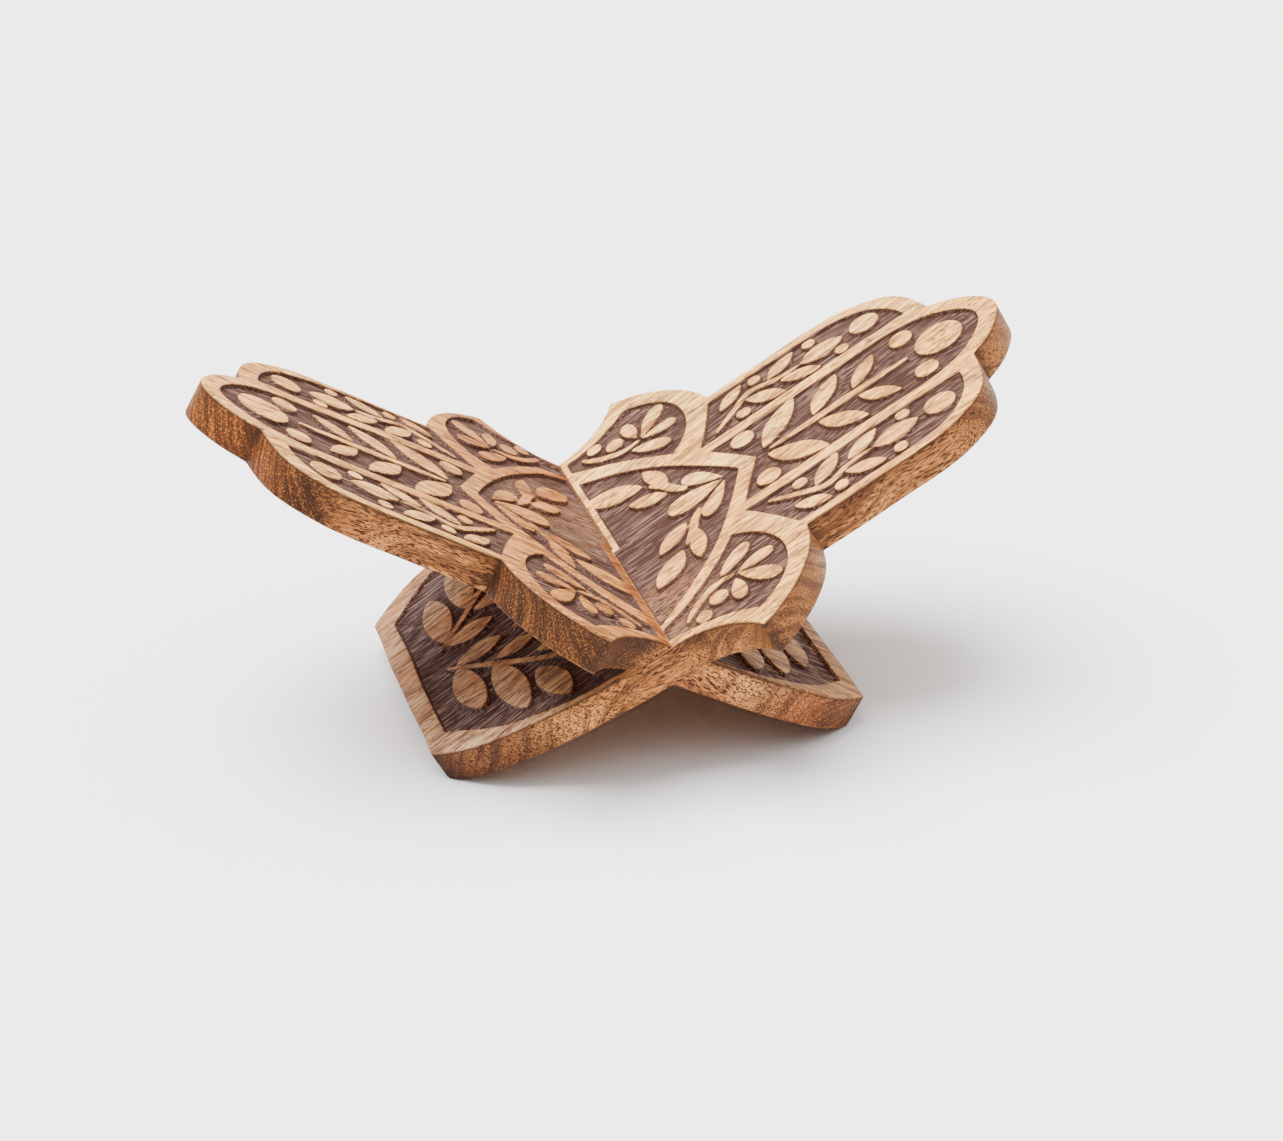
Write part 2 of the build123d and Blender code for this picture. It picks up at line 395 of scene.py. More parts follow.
def inside_distance(polygon):
    """How far inside the closed polygon each grid point lies, up to REACH, and where on the grid they are."""
    a, b = grid_window(polygon.min(0) - REACH, polygon.max(0) + REACH)
    xs = GRID_LOW[0] + GRID * np.arange(a[0], b[0])
    ys = GRID_LOW[1] + GRID * np.arange(a[1], b[1])
    nearest = np.full((len(xs), len(ys)), REACH * REACH)
    inside = np.zeros((len(xs), len(ys)), bool)
    for p, q in zip(polygon, np.roll(polygon, -1, 0)):
        if np.hypot(*(q - p)) < 1e-9:
            continue
        low, high = np.minimum(p, q) - REACH, np.maximum(p, q) + REACH
        i = slice(*np.searchsorted(xs, (low[0], high[0])))
        j = slice(*np.searchsorted(ys, (low[1], high[1])))
        dx, dy = xs[i, None] - p[0], ys[None, j] - p[1]
        way = q - p
        t = np.clip((dx * way[0] + dy * way[1]) / (way @ way), 0, 1)
        gap = (dx - t * way[0]) ** 2 + (dy - t * way[1]) ** 2
        nearest[i, j] = np.minimum(nearest[i, j], gap)
        if p[1] != q[1]:
            rows = (ys >= min(p[1], q[1])) & (ys < max(p[1], q[1]))
            crossing = p[0] + (ys[rows] - p[1]) * way[0] / way[1]
            inside[:, rows] ^= xs[:, None] < crossing[None, :]
    distance = np.sqrt(nearest)
    return np.where(inside, distance, -distance), (slice(a[0], b[0]), slice(a[1], b[1]))


def union_field(polygons):
    """The largest inside_distance over the polygons, on the whole grid."""
    field = np.full(GRID_SIZE, -REACH)
    for polygon in polygons:
        distance, window = inside_distance(polygon)
        field[window] = np.maximum(field[window], distance)
    return field


def read_field(field, points):
    """The field's values at the points, by bilinear interpolation."""
    at = np.clip((points - GRID_LOW) / GRID, 0, GRID_SIZE - 1.001)
    i = at.astype(int)
    f = at - i
    x, y = i.T
    return (
        field[x, y] * (1 - f[:, 0]) * (1 - f[:, 1]) + field[x + 1, y] * f[:, 0] * (1 - f[:, 1])
        + field[x, y + 1] * (1 - f[:, 0]) * f[:, 1] + field[x + 1, y + 1] * f[:, 0] * f[:, 1]
    )


# Which sides of a grid square a contour joins, for each pattern of corners above the level.
# Corners 1, 2, 4, 8 are (x, y), (x+1, y), (x+1, y+1), (x, y+1).
# Sides 0 to 3 are low y, high x, high y, low x.
SQUARE_SIDES = {
    1: [(3, 0)], 2: [(0, 1)], 3: [(3, 1)], 4: [(1, 2)], 5: [(3, 2), (1, 0)], 6: [(0, 2)], 7: [(3, 2)],
    8: [(2, 3)], 9: [(2, 0)], 10: [(2, 1), (0, 3)], 11: [(2, 1)], 12: [(1, 3)], 13: [(1, 0)], 14: [(0, 3)],
}


def contours(field, level):
    """The closed lines where the field has that level, each as an array of points in mm."""
    f = field - level
    f[f == 0] = 1e-9
    above = f > 0
    ny = f.shape[1]
    code = above[:-1, :-1] + 2 * above[1:, :-1] + 4 * above[1:, 1:] + 8 * above[:-1, 1:]

    def side_number(x, y, side):
        """One number for each grid line between two neighbouring points, shared by the squares beside it."""
        along_x = side in (0, 2)
        x = x + (side == 1)
        y = y + (side == 2)
        return (x * ny + y) * 2 + (0 if along_x else 1)

    links = {}
    for pattern, joins in SQUARE_SIDES.items():
        x, y = np.nonzero(code == pattern)
        for a, b in joins:
            for m, n in zip(side_number(x, y, a).tolist(), side_number(x, y, b).tolist()):
                links.setdefault(m, []).append(n)
                links.setdefault(n, []).append(m)
    lines = []
    while links:
        start, following = next(iter(links.items()))
        chain, here, before = [start], following[0], start
        del links[start]
        while here != start and here in links:
            chain.append(here)
            options = links.pop(here)
            before, here = here, options[0] if options[0] != before else options[-1]
        number = np.array(chain)
        x, y = np.divmod(number // 2, ny)
        along_x = number % 2 == 0
        x2, y2 = np.where(along_x, x + 1, x), np.where(along_x, y, y + 1)
        t = f[x, y] / (f[x, y] - f[x2, y2])
        lines.append(GRID_LOW + GRID * np.stack([x + t * (x2 - x), y + t * (y2 - y)], 1))
    return lines


def thinned(points, tolerance=SIMPLIFY):
    """The closed line with points left out where it stays within the tolerance."""
    n = len(points)
    if n < 8:
        return None
    half = n // 2
    keep = {0, half}
    spans = [(0, half), (half, n)]
    ring = np.concatenate([points, points[:1]])
    while spans:
        a, b = spans.pop()
        if b - a < 2:
            continue
        way = ring[b] - ring[a]
        length = max(np.hypot(*way), 1e-9)
        off = ring[a + 1:b] - ring[a]
        gap = np.abs(off[:, 0] * way[1] - off[:, 1] * way[0]) / length
        worst = int(np.argmax(gap))
        if gap[worst] > tolerance or length > LONGEST_SPAN:
            middle = a + 1 + worst if gap[worst] > tolerance else (a + b) // 2
            keep.add(middle)
            spans += [(a, middle), (middle, b)]
    return points[sorted(k for k in keep if k < n)]


# ---------------------------------------------------------------- the board's mesh
def triangulated(loop, lines, crease):
    """Triangles inside the clockwise loop, with the closed lines and the open crease among their sides.

    Also the number of each of the loop's points.
    """
    points, sides = [loop], []
    start = len(loop)
    for one in lines:
        points.append(one)
        n = len(one)
        sides += [(start + i, start + (i + 1) % n) for i in range(n)]
        start += n
    points.append(crease)
    sides += [(start + i, start + i + 1) for i in range(len(crease) - 1)]
    flat = [Vector(p) for p in np.concatenate(points).tolist()]
    region = list(range(len(loop)))[::-1]
    verts, _, faces, sources, _, regions = delaunay_2d_cdt(flat, sides, [region], 0, 1e-4, True)
    number = np.full(len(loop), -1)
    for new, old in enumerate(sources):
        for o in old:
            if o < len(loop):
                number[o] = new
    inside = [tuple(f) for f, found in zip(faces, regions) if found]
    return np.array([v[:] for v in verts]), inside, number


def rounding_radius(points, slot):
    """The radius of the board's arris: small beside the slot, larger round the outline."""
    low, high = slot
    gap_x = np.maximum(np.maximum(low - points[..., 0], points[..., 0] - high), 0)
    gap_y = np.maximum(-points[..., 1], 0)
    from_slot = rise(np.hypot(gap_x, gap_y), 1.5, 4.5)
    at_outline = rise(np.abs(points[..., 1]), WAIST_HALF_WIDTH - 8, WAIST_HALF_WIDTH - 2)
    return SLOT_ROUND + (OUTLINE_ROUND - SLOT_ROUND) * np.maximum(from_slot, at_outline)


def face_side(loop, slot, relief, crease=np.zeros((0, 2))):
    """One face of the board: its points and triangles, and the number of each of the loop's points.

    With the points come how far each lies below the face, and how far inside a raised edge.
    """
    xs = GRID_LOW[0] + GRID * np.arange(GRID_SIZE[0])
    ys = GRID_LOW[1] + GRID * np.arange(GRID_SIZE[1])
    spots = np.stack(np.meshgrid(xs, ys, indexing="ij"), -1)
    share = union_field([loop]) / rounding_radius(spots, slot)
    lines = [thinned(c) for f in EDGE_FRACTIONS for c in contours(share, f)]
    if relief is not None:
        lines += [thinned(c) for level in RELIEF_AT for c in contours(relief, level)]
    points, faces, number = triangulated(loop, [c for c in lines if c is not None], crease)
    q = np.clip(read_field(share, points), 0, 1)
    q[number] = 0
    drop_edge = rounding_radius(points, slot) * (1 - np.sqrt(1 - (1 - q) ** 2))
    place = np.full(len(points), REACH) if relief is None else read_field(relief, points)
    drop_relief = np.interp(place, RELIEF_AT, RELIEF_DROP) if relief is not None else np.zeros(len(points))
    return points, np.maximum(drop_edge, drop_relief), place, faces, number


def set_out(points, slip):
    """The points of the wing's carving where this board's carver drew them: off by slip near the palm.

    slip is how far along the board, how far across it, and how much wider per millimetre from the centreline.
    """
    x, y = points.T
    share = rise(x, 150, 75) * rise(x - CROSSING, STEADY, UNEVEN)
    along, across, wider = slip
    doubled_in_palm = along * (1 + rise(x, 80, 40))
    return points + share[:, None] * np.stack([doubled_in_palm, across + wider * y], 1)


def edge_wall(verts, top_rim, bottom_rim):
    """The edge between the faces' rims, whose points are given by their numbers in verts.

    It comes as more points to put after verts, its quads, and the numbers of every row's points, rims too.
    """
    share = (np.arange(1, WALL_ROWS) / WALL_ROWS)[:, None, None]
    wall = (verts[top_rim] * (1 - share) + verts[bottom_rim] * share).reshape(-1, 3)
    between = len(verts) + np.arange(len(wall)).reshape(WALL_ROWS - 1, len(top_rim))
    rows = np.vstack([top_rim, between, bottom_rim])
    following = np.roll(rows, -1, 1)
    quads = np.stack([rows[:-1], following[:-1], following[1:], rows[1:]], -1).reshape(-1, 4)
    return wall, quads.tolist(), rows


def cut_across_grain(loop):
    """How squarely the edge cuts the grain at each of the loop's points, from 0 to 1."""
    along = np.roll(loop, -1, 0) - np.roll(loop, 1, 0)
    return np.abs(along[:, 1]) / np.hypot(*along.T)


def board_mesh(name, side, seed, rim, slip):
    """The whole board as one closed mesh, stood up, with each face's material and each point's attributes."""
    outline = softened(hand_wobble(mirrored(outline_half()), seed))
    top_loop, bottom_loop = edge_loops(outline)
    raised = union_field([hand_wobble(set_out(m, slip), seed + 1) for m in motifs()])
    sunk = union_field([hand_wobble(set_out(g, slip), seed + 1) for g in grounds(rim)])
    relief = np.maximum(-sunk - CUT_BACK, raised)
    top, top_drop, place, top_faces, top_rim = face_side(top_loop, TOP_SLOT, relief)
    crease = spaced((BEVEL_START, -65), (BEVEL_START, 65), 30)
    bottom, bottom_drop, _, bottom_faces, bottom_rim = face_side(bottom_loop, BOTTOM_SLOT, None, crease)

    verts = np.concatenate([
        np.column_stack([top, HALF - top_drop]),
        np.column_stack([bottom, bottom_drop - HALF]),
    ])
    wall, quads, rows = edge_wall(verts, top_rim, len(top) + bottom_rim)
    verts = planed_at_floor(np.concatenate([verts, wall]))
    faces = top_faces + [tuple(len(top) + i for i in f[::-1]) for f in bottom_faces] + quads
    mesh = bpy.data.meshes.new(name)
    mesh.from_pydata(stood_up(verts, side).tolist(), [], faces)

    slot_count = sum(SLOT_POINTS)
    wall_row = [EDGE] * (len(top_loop) - slot_count) + [SLOT_WALL] * slot_count
    underside = [EDGE if bottom_drop[list(f)].max() > ROUNDED else UNDERSIDE for f in bottom_faces]
    kinds = [FACE] * len(top_faces) + underside + wall_row * WALL_ROWS
    mesh.polygons.foreach_set("material_index", kinds)
    mesh.polygons.foreach_set("use_smooth", [True] * len(faces))

    inside = np.full(len(verts), REACH)
    inside[: len(place)] = place
    end_grain = np.zeros(len(verts))
    end_grain[rows] = cut_across_grain(top_loop)
    # The edge's darkening attribute holds both scorching and painted shade.
    for attribute, values in (("relief", inside), ("scorch_and_shade", edge_scorch_and_shade(verts)), ("end_grain", end_grain)):
        mesh.attributes.new(attribute, "FLOAT", "POINT").data.foreach_set("value", values.astype(np.float32))
    places = mesh.attributes.new("place", "FLOAT_VECTOR", "POINT")
    places.data.foreach_set("vector", verts.astype(np.float32).ravel())
    mesh.validate()
    mesh.update()
    return mesh


def planed_at_floor(verts):
    """The points, with any that would be below the floor lifted onto it."""
    height = AXIS_HEIGHT + verts[:, 0] * math.sin(SLOPE) + verts[:, 2] * math.cos(SLOPE)
    lift = np.maximum(-height, 0)
    return verts + np.outer(lift, [math.sin(SLOPE), 0, math.cos(SLOPE)])


def stood_up(verts, side):
    """The flat board's points on its CAD board's plane, in metres."""
    axes = np.array([
        (side * math.cos(SLOPE), 0, math.sin(SLOPE)),
        (0, side, 0),
        (-side * math.sin(SLOPE), 0, math.cos(SLOPE)),
    ])
    return (verts @ axes + [0, 0, AXIS_HEIGHT]) * MM


def edge_scorch_and_shade(verts):
    """From 0 to 1, how dark the edge wall is made, by its place: scorched, most in the outline's corners;
    painted shade on the top of the foot's edge under the other board's wing; partly scorched and partly
    painted shade in the hollow by the thumb; and darker on its upper part beside the fingers.
    """
    x, y, z = verts[:, 0], np.abs(verts[:, 1]), verts[:, 2]
    burnt = np.zeros(len(verts))
    for corner_x, corner_y, size in SCORCHED_CORNERS:
        gap = np.hypot(x - corner_x, y - corner_y)
        burnt = np.maximum(burnt, np.exp(-((gap / size) ** 2)))
    # Painted shade: the top of the foot's edge, under the other board's wing.
    under_wing = rise(x, -70, -40) * rise(x, -12, -22) * rise(z, HALF - CARVING_DEPTH, HALF - 1)
    beside_fingers = rise(x, 78, 100) * rise(x, 168, 138) * rise(z, 0.5, HALF)
    # Partly scorched and partly painted shade: the hollow between the waist and the thumb.
    hollow = rise(np.abs(x - 16), 20, 0) * rise(z, -6, 4) * (y > 92)
    return np.maximum.reduce([burnt, under_wing, 0.85 * beside_fingers, 0.95 * hollow])


# ---------------------------------------------------------------- materials
class Shader:
    """A material with a Principled surface, and short ways to add nodes to it."""

    def __init__(self, name, shine=0.5):
        self.material = bpy.data.materials.new(name)
        self.material.use_nodes = True
        self.tree = self.material.node_tree
        self.surface = self.tree.nodes["Principled BSDF"]
        self.surface.inputs["Specular IOR Level"].default_value = shine

    def node(self, kind, inputs, **settings):
        made = self.tree.nodes.new(kind)
        for key, value in settings.items():
            setattr(made, key, value)
        for key, value in inputs.items():
            if isinstance(value, bpy.types.NodeSocket):
                self.tree.links.new(value, made.inputs[key])
            else:
                made.inputs[key].default_value = value
        return made

    def link(self, socket, name):
        self.tree.links.new(socket, self.surface.inputs[name])

    def attribute(self, name, output="Fac"):
        return self.node("ShaderNodeAttribute", {}, attribute_name=name).outputs[output]

    def vector(self, operation, a, b):
        return self.node("ShaderNodeVectorMath", {0: a, 1: b}, operation=operation).outputs[0]

    def math(self, operation, a, b):
        return self.node("ShaderNodeMath", {0: a, 1: b}, operation=operation).outputs[0]

    def scaled(self, value, factor, plus=0.0):
        inputs = {0: value, 1: factor, 2: plus}
        return self.node("ShaderNodeMath", inputs, operation="MULTIPLY_ADD").outputs[0]

    def place_along(self, axis):
        """The place on the board along its own X, Y or Z, in millimetres."""
        place = self.attribute("place", "Vector")
        return self.node("ShaderNodeSeparateXYZ", {0: place}).outputs[axis]

    def noise(self, place, length, width, detail=2.0, roughness=0.55):
        """Noise drawn out along the grain, with marks about that long and wide in millimetres."""
        stretched = self.vector("MULTIPLY", place, (1 / length, 1 / width, 1 / width))
        inputs = {"Vector": stretched, "Scale": 1.0, "Detail": detail, "Roughness": roughness}
        return self.node("ShaderNodeTexNoise", inputs).outputs["Fac"]

    def ramp(self, value, low, high, top=1.0):
        """From 0 at low to top at high, smoothly."""
        inputs = {"Value": value, "From Min": low, "From Max": high, "To Max": top}
        return self.node("ShaderNodeMapRange", inputs, interpolation_type="SMOOTHSTEP").outputs[0]

    def mix(self, share, a, b, blend="MIX"):
        made = self.tree.nodes.new("ShaderNodeMix")
        made.data_type, made.blend_type = "RGBA", blend
        for socket, value in ((made.inputs[0], share), (made.inputs[6], a), (made.inputs[7], b)):
            if isinstance(value, bpy.types.NodeSocket):
                self.tree.links.new(value, socket)
            else:
                socket.default_value = value if isinstance(value, float) else (*value, 1.0)
        return made.outputs[2]

    def bump(self, height, depth_mm):
        normal = self.node("ShaderNodeBump", {"Height": height, "Distance": depth_mm * MM}).outputs["Normal"]
        self.link(normal, "Normal")

    def wood_place(self, offset, turn):
        """The place in the plank: the grain turned a little from the board's length, and gently wavy."""
        place = self.vector("ADD", self.attribute("place", "Vector"), offset)
        turned = self.node("ShaderNodeMapping", {"Vector": place, "Rotation": (0, 0, math.radians(turn))})
        place = turned.outputs[0]
        wave = self.scaled(self.noise(place, 70, 40, 1), 14.0, -7.0)
        sideways = self.node("ShaderNodeCombineXYZ", {"Y": wave, "Z": wave}).outputs[0]
        return self.vector("ADD", place, sideways)


def bare_wood(shader, place, tones):
    """The colour of planed wood, from broad patches, yearly layers, fibres and pores. Also the last two."""
    patches = shader.noise(place, 120, 30, 2)
    colour = shader.mix(shader.ramp(patches, 0.38, 0.62), tones["light"], tones["warm"])
    layers = slanted_layers(shader, place, 2.6)
    colour = shader.mix(shader.ramp(layers, 0.47, 0.6, tones["band_strength"]), colour, tones["band"])
    # The fibres crowd together in some places and are hardly seen in others.
    fibres = shader.noise(place, 13, 0.85, 2, 0.7)
    crowded = shader.math("ADD", fibres, shader.scaled(shader.noise(place, 45, 9, 2), 0.5, -0.25))
    colour = shader.mix(shader.ramp(crowded, 0.50, 0.57, tones["fibre_strength"]), colour, tones["fibre"])
    pores = shader.noise(place, tones["pore_length"], tones["pore_width"], 1.5)
    pores = shader.ramp(pores, tones["pore_from"], tones["pore_from"] + 0.07)
    colour = shader.mix(shader.scaled(pores, tones["pore_strength"]), colour, tones["pore"])
    return colour, fibres, pores


def slanted_layers(shader, place, thickness):
    """The yearly layers: they lie at a slant in the plank, so they show as slanting lines on its ends."""
    inputs = {"Vector": place, "Rotation": (math.radians(62), 0, 0)}
    slanted = shader.node("ShaderNodeMapping", inputs).outputs[0]
    stretched = shader.vector("MULTIPLY", slanted, (1 / 110, 1 / 32, 1 / thickness))
    inputs = {"Vector": stretched, "Scale": 1.0, "Detail": 2.0, "Roughness": 0.6}
    return shader.node("ShaderNodeTexNoise", inputs).outputs["Fac"]


def along_board(shader, colour, stops):
    """The colour times a tint that changes along the board.

    A stop is where its tint starts, where it is full, and the tint.
    """
    along = shader.place_along("X")
    tint = (1.0, 1.0, 1.0)
    for start, full, following in stops:
        tint = shader.mix(shader.ramp(along, start, full), tint, following)
    return shader.mix(1.0, colour, tint, "MULTIPLY")


FACE_TONES = {
    "light": (0.95, 0.55, 0.17), "warm": (0.93, 0.44, 0.11),
    "band": (0.42, 0.16, 0.04), "band_strength": 0.6,
    "fibre": (0.16, 0.060, 0.018), "fibre_strength": 0.8,
    "pore": (0.05, 0.017, 0.007), "pore_strength": 0.8,
    "pore_length": 7.0, "pore_width": 0.8, "pore_from": 0.57,
}
EDGE_TONES = {
    "light": (0.66, 0.275, 0.073), "warm": (0.45, 0.16, 0.039),
    "band": (0.12, 0.038, 0.011), "band_strength": 0.7,
    "fibre": (0.10, 0.034, 0.010), "fibre_strength": 0.6,
    "pore": (0.032, 0.010, 0.005), "pore_strength": 0.95,
    "pore_length": 4.0, "pore_width": 0.42, "pore_from": 0.50,
}
PLAIN_TONES = dict(FACE_TONES, light=(0.36, 0.20, 0.10), warm=(0.30, 0.155, 0.075))
GROUND_DARK = (0.010, 0.005, 0.004)
GROUND_MID = (0.060, 0.033, 0.024)
GROUND_LINE = (0.52, 0.33, 0.23)
GROUND_WALL = (0.040, 0.012, 0.007)
GROUND_BARE = (0.62, 0.29, 0.12)
# Dark brown for scorched wood, and also for painted shade.
SCORCH_AND_SHADE = (0.025, 0.009, 0.004)
END_DARK = (0.011, 0.004, 0.002)
END_LIGHT = (0.052, 0.016, 0.004)
END_SPECK = (0.20, 0.070, 0.014)


def tinted(tones, tint):
    """The same tones with each colour multiplied by the tint."""
    return {k: tuple(a * b for a, b in zip(v, tint)) if isinstance(v, tuple) else v for k, v in tones.items()}


def carved_material(name, look):
    """The carved face: pale raised wood, and burnt ground, reddest and darkest beside each raised edge."""
    shader = Shader(name, 0.16)
    place = shader.wood_place(look["offset"], look["turn"])
    raised, fibres, pores = bare_wood(shader, place, tinted(FACE_TONES, look["tint"]))
    # The face stops paint shade near the crossing and on the feet, under the other board's wing.
    raised = along_board(shader, raised, look["face_tone_and_shade_stops"])

    lines = shader.noise(place, 22, 0.8, 2, 0.7)
    ground = shader.mix(shader.ramp(lines, 0.42, 0.48), GROUND_DARK, GROUND_MID)
    ground = shader.mix(shader.ramp(lines, 0.53, 0.59, 0.9), ground, GROUND_LINE)
    cloudy = shader.ramp(shader.noise(place, 50, 16, 2), 0.42, 0.62, 0.4)
    ground = along_board(shader, shader.mix(cloudy, ground, GROUND_DARK), look["ground_stops"])
    # Where the burning was lighter, the wood's own colour comes through.
    (patch_x, patch_y), size, strength = look["bare_patch"]
    spot = shader.attribute("place", "Vector")
    gap = shader.node("ShaderNodeVectorMath", {0: spot, 1: (patch_x, patch_y, HALF)}, operation="DISTANCE")
    uneven = shader.math("ADD", gap.outputs["Value"], shader.scaled(shader.noise(place, 30, 12), size * 0.8))
    lighter = shader.ramp(uneven, size * 1.6, size * 0.6, strength)
    speckle = shader.ramp(shader.noise(place, 5, 0.9, 2), 0.44, 0.58)
    ground = shader.mix(shader.math("MULTIPLY", lighter, speckle), ground, GROUND_BARE)

    wavering = shader.scaled(shader.noise(place, 2.5, 1.0, 2), 0.24, -0.12)
    at = shader.math("ADD", shader.attribute("relief"), wavering)
    ground = shader.mix(shader.ramp(at, -3.2, -0.8, 0.8), ground, GROUND_WALL)
    toasted_and_shaded = shader.mix(shader.ramp(at, 0.3, -0.05, 0.5), raised, EDGE_TONES["band"])
    is_raised = shader.ramp(at, -0.22, -0.05)
    # The board's own rounded arris is darker too, and darker still where the edge wall is scorched or painted
    # with shade.
    rounded = shader.ramp(shader.place_along("Z"), HALF - 0.03, HALF - 0.3, 0.65)
    arris = shader.math("MULTIPLY", rounded, shader.ramp(at, 0.6, 1.0))
    toasted_and_shaded = shader.mix(arris, toasted_and_shaded, EDGE_TONES["band"])
    toasted_and_shaded = shader.mix(shader.math("MULTIPLY", arris, shader.attribute("scorch_and_shade")), toasted_and_shaded, SCORCH_AND_SHADE)
    shader.link(shader.mix(is_raised, ground, toasted_and_shaded), "Base Color")

    shader.link(shader.scaled(is_raised, -0.22, 0.78), "Roughness")
    rough_ground = shader.math("MULTIPLY", shader.scaled(is_raised, -1.0, 1.0), lines)
    height = shader.math("ADD", shader.scaled(rough_ground, 2.5), shader.scaled(fibres, 0.5))
    shader.bump(shader.math("SUBTRACT", height, shader.scaled(pores, 0.6)), 0.10)
    return shader.material


def edge_material(name, look):
    """The edge all round: golden brown, with dark dashes along the grain and gold specks across it."""
    shader = Shader(name, 0.12)
    place = shader.wood_place(look["offset"], look["turn"])
    colour, fibres, pores = bare_wood(shader, place, tinted(EDGE_TONES, look["tint"]))
    rings = shader.scaled(slanted_layers(shader, place, 1.1), 0.5)
    layers = shader.math("ADD", rings, shader.scaled(shader.noise(place, 0.9, 0.75, 2), 0.5))
    cut_across = shader.mix(shader.ramp(layers, 0.46, 0.54), END_DARK, END_LIGHT)
    specks = shader.math("ADD", rings, shader.scaled(shader.noise(place, 1.2, 0.8, 1), 0.75, -0.125))
    speckle = shader.ramp(specks, 0.53, 0.62, 0.85)
    cut_across = shader.mix(speckle, cut_across, END_SPECK)
    cut_across = shader.mix(shader.scaled(pores, 0.5), cut_across, EDGE_TONES["pore"])
    squarely = shader.ramp(shader.attribute("end_grain"), *look["end_range"])
    # The edge stops include painted shade on the right board's edge towards its foot.
    colour = along_board(shader, shader.mix(squarely, colour, cut_across), look["edge_tone_and_shade_stops"])
    cloud = shader.noise(place, 14, 7, 3)
    # Scorching and painted shade on the edge wall, broken into uneven clouds.
    scorch_and_shade = shader.math("MULTIPLY", shader.attribute("scorch_and_shade"), shader.ramp(cloud, 0.25, 0.55, 0.85))
    colour = shader.mix(scorch_and_shade, colour, SCORCH_AND_SHADE)
    depth = shader.place_along("Z")
    upper = shader.ramp(depth, HALF - 1.7, HALF - 0.9, 0.75)
    arris = shader.math("MAXIMUM", upper, shader.ramp(depth, 1 - HALF, 0.2 - HALF, 0.5))
    colour = shader.mix(arris, colour, SCORCH_AND_SHADE)
    shader.link(colour, "Base Color")
    shader.link(shader.scaled(pores, 0.2, 0.5), "Roughness")
    shader.bump(shader.math("SUBTRACT", shader.scaled(fibres, 0.5), pores), 0.08)
    return shader.material


def plain_material(name, look):
    """The underside and the slot's walls: planed wood with no burning."""
    shader = Shader(name, 0.2)
    place = shader.wood_place(look["offset"], look["turn"])
    colour, fibres, pores = bare_wood(shader, place, tinted(PLAIN_TONES, look["tint"]))
    shader.link(colour, "Base Color")
    shader.surface.inputs["Roughness"].default_value = 0.6
    shader.bump(shader.math("SUBTRACT", shader.scaled(fibres, 0.5), pores), 0.06)
    return shader.material


# ---------------------------------------------------------------- the two boards
def in_scene(made):
    bpy.context.scene.collection.objects.link(made)
    return made


def board(node, side, seed, rim, slip, look):
    """The carved board that stands for one CAD board.

    side is 1 for the wing towards +X, -1 for -X. rim is the plain border beside the slot, and slip is as in
    set_out.
    """
    mesh = board_mesh(node + "_carved", side, seed, rim, slip)
    piece = in_scene(bpy.data.objects.new(node + "_carved", mesh))
    mesh.materials.append(carved_material(node + "_face", look))
    mesh.materials.append(plain_material(node + "_underside", look))
    mesh.materials.append(edge_material(node + "_edge", look))
    mesh.materials.append(plain_material(node + "_slot", look))
    mesh.set_sharp_from_angle(angle=SMOOTH_UP_TO)
    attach(piece, node)
    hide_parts(node)
    return piece


# offset and turn place each board in its plank. bare_patch is where the burning is lightest: its place, size
# and strength. end_range is where the edge starts to look like end grain, where it does fully, and how
# strongly. The stops are as in along_board.
RIGHT_LOOK = {
    "tint": (1, 1, 1), "offset": (0, 0, 0), "turn": -5, "end_range": (0.15, 0.8, 0.25),
    "bare_patch": ((12, -68), 32, 0.9),
    # Painted shade: the right board's face is darker near the crossing and on its foot, under the other
    # board's wing.
    "face_tone_and_shade_stops": [(-6, -22, (0.42, 0.42, 0.62)), (-44, -72, (0.57, 0.59, 1.03))],
    "ground_stops": [(-12, -62, (1.4, 1.6, 2.0))],
    # Painted shade: the right board's edge is darker towards its foot, under the other board's wing.
    "edge_tone_and_shade_stops": [(-45, -75, (0.41, 0.36, 0.41))],
}
LEFT_LOOK = {
    "tint": (0.97, 0.91, 0.95), "offset": (431, 83, 19), "turn": 6, "end_range": (0.05, 0.5, 0.95),
    "bare_patch": ((16, -28), 40, 0.75),
    # The left board's palm is browner. Nearer the crossing and on its foot, the face is painted with shade
    # from the other board's wing.
    "face_tone_and_shade_stops": [
        (130, 32, (0.61, 0.50, 0.42)), (14, 9, (0.34, 0.23, 0.16)), (-12, -62, (0.82, 0.86, 1.0)),
    ],
    "ground_stops": [(-12, -62, (2.8, 2.8, 3.0))],
    "edge_tone_and_shade_stops": [(162, 190, (1.95, 1.7, 1.2)), (-12, -45, (1.2, 1.3, 1.5)), (-50, -85, (3.0, 2.9, 3.0))],
}
right = board("right_wing_board", side=1, seed=11, rim=3.3, slip=(0.3, -0.7, 0), look=RIGHT_LOOK)
left = board("left_wing_board", side=-1, seed=23, rim=4.6, slip=(1.1, -2.5, 0.035), look=LEFT_LOOK)


# ---------------------------------------------------------------- floor, light and camera
def floor(half):
    """A plain pale floor that reaches that many metres each way."""
    mesh = bpy.data.meshes.new("floor")
    corners = [(-half, -half, 0), (half, -half, 0), (half, half, 0), (-half, half, 0)]
    mesh.from_pydata(corners, [], [(0, 1, 2, 3)])
    made = in_scene(bpy.data.objects.new("floor", mesh))
    shader = Shader("floor_paper", 0.0)
    shader.surface.inputs["Base Color"].default_value = (0.92, 0.915, 0.91, 1)
    shader.surface.inputs["Roughness"].default_value = 1.0
    mesh.materials.append(shader.material)


def sun(name, towards, strength, softness):
    """A light from far off in that direction. softness is how wide it looks, in degrees."""
    data = bpy.data.lights.new(name, "SUN")
    data.energy, data.angle = strength, math.radians(softness)
    lamp = in_scene(bpy.data.objects.new(name, data))
    lamp.rotation_mode = "QUATERNION"
    lamp.rotation_quaternion = Vector(towards).to_track_quat("Z", "Y")


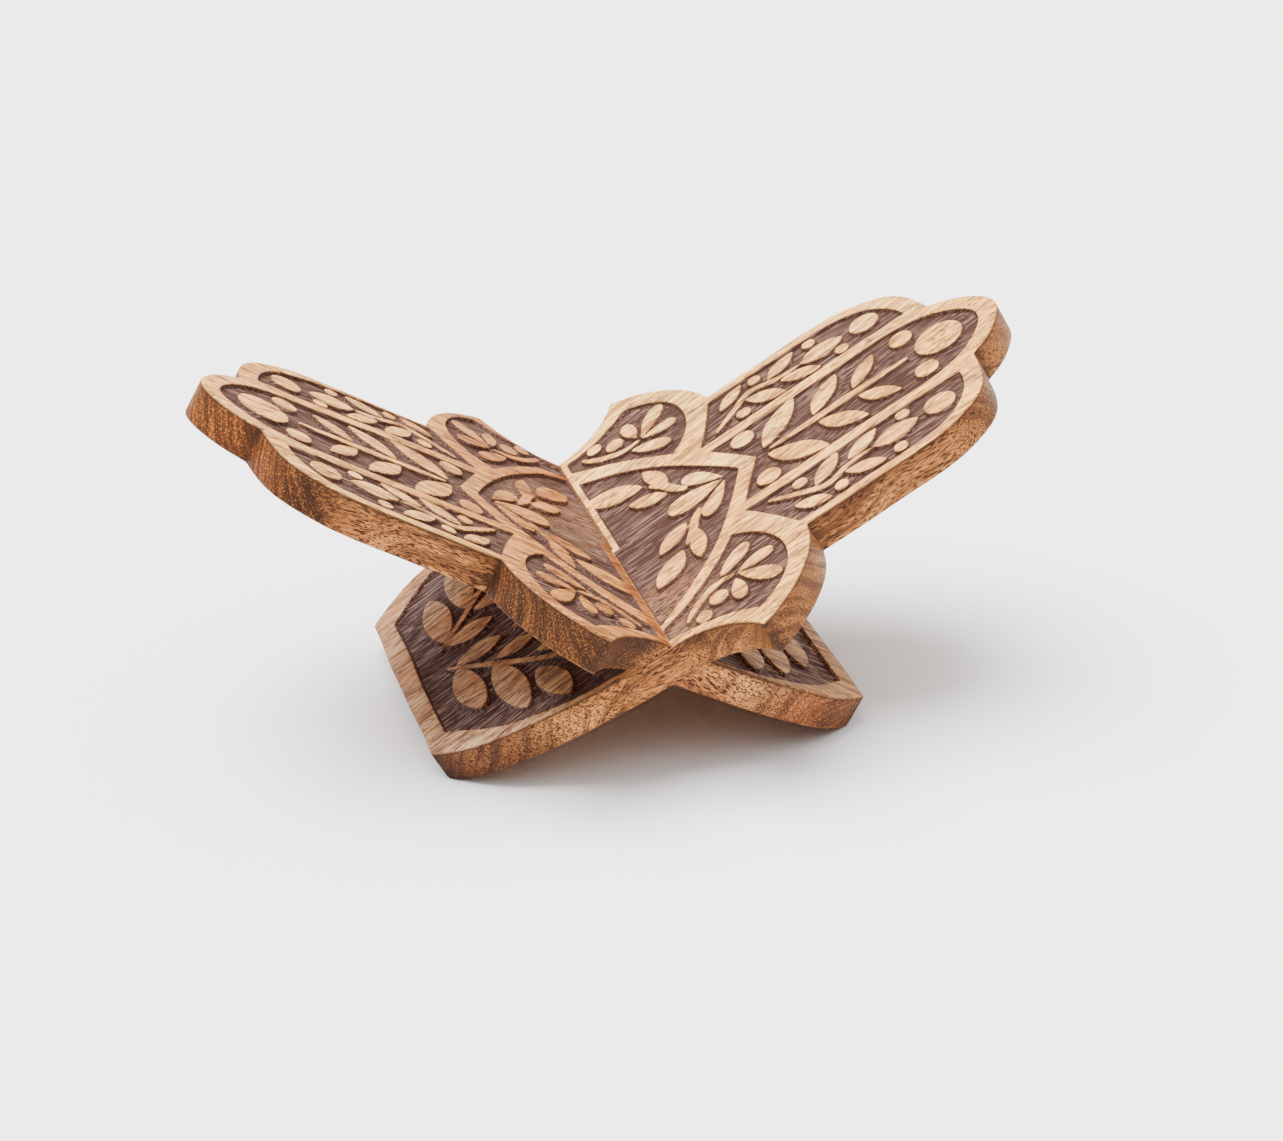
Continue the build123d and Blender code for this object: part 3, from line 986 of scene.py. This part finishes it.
def world(level, overhead, ceiling_from):
    """A white room of strength level, with overhead added straight up.

    The added light starts at ceiling_from, where 0 is the horizon and 1 is straight up.
    """
    made = bpy.data.worlds.new("studio")
    made.use_nodes = True
    nodes, links = made.node_tree.nodes, made.node_tree.links
    direction = nodes.new("ShaderNodeTexCoord")
    height = nodes.new("ShaderNodeSeparateXYZ")
    brightness = nodes.new("ShaderNodeMapRange")
    brightness.interpolation_type = "SMOOTHSTEP"
    brightness.inputs["From Min"].default_value = ceiling_from
    brightness.inputs["To Min"].default_value = level
    brightness.inputs["To Max"].default_value = level + overhead
    links.new(direction.outputs["Generated"], height.inputs[0])
    links.new(height.outputs["Z"], brightness.inputs["Value"])
    links.new(brightness.outputs[0], nodes["Background"].inputs["Strength"])
    nodes["Background"].inputs["Color"].default_value = (0.97, 0.975, 1.0, 1)
    bpy.context.scene.world = made


def camera(azimuth, elevation, roll, distance, shift, lens):
    """Looks at the crossing from that far, turned by angles in degrees and moved sideways and up in mm."""
    a, e, r = math.radians(azimuth), math.radians(elevation), math.radians(roll)
    back = Vector((math.sin(a) * math.cos(e), -math.cos(a) * math.cos(e), math.sin(e)))
    level = Vector((math.cos(a), math.sin(a), 0))
    upright = back.cross(level)
    right_way = level * math.cos(r) + upright * math.sin(r)
    up_way = upright * math.cos(r) - level * math.sin(r)
    data = bpy.data.cameras.new("camera")
    data.lens, data.sensor_width = lens, 36.0
    data.clip_start, data.clip_end = 0.05, 50
    made = in_scene(bpy.data.objects.new("camera", data))
    spot = Vector((0, 0, AXIS_HEIGHT)) + back * distance + right_way * shift[0] + up_way * shift[1]
    facing = Matrix((right_way, up_way, back)).transposed().to_4x4()
    made.matrix_world = Matrix.Translation(spot * MM) @ facing
    bpy.context.scene.camera = made


floor(half=8.0)
sun("softbox", towards=(-0.25, 0.12, 0.95), strength=10.0, softness=48)
world(level=0.1, overhead=2.6, ceiling_from=0.25)
camera(azimuth=-14.94, elevation=24.95, roll=-0.496, distance=1408.5, shift=(13.05, -0.8), lens=89.14)
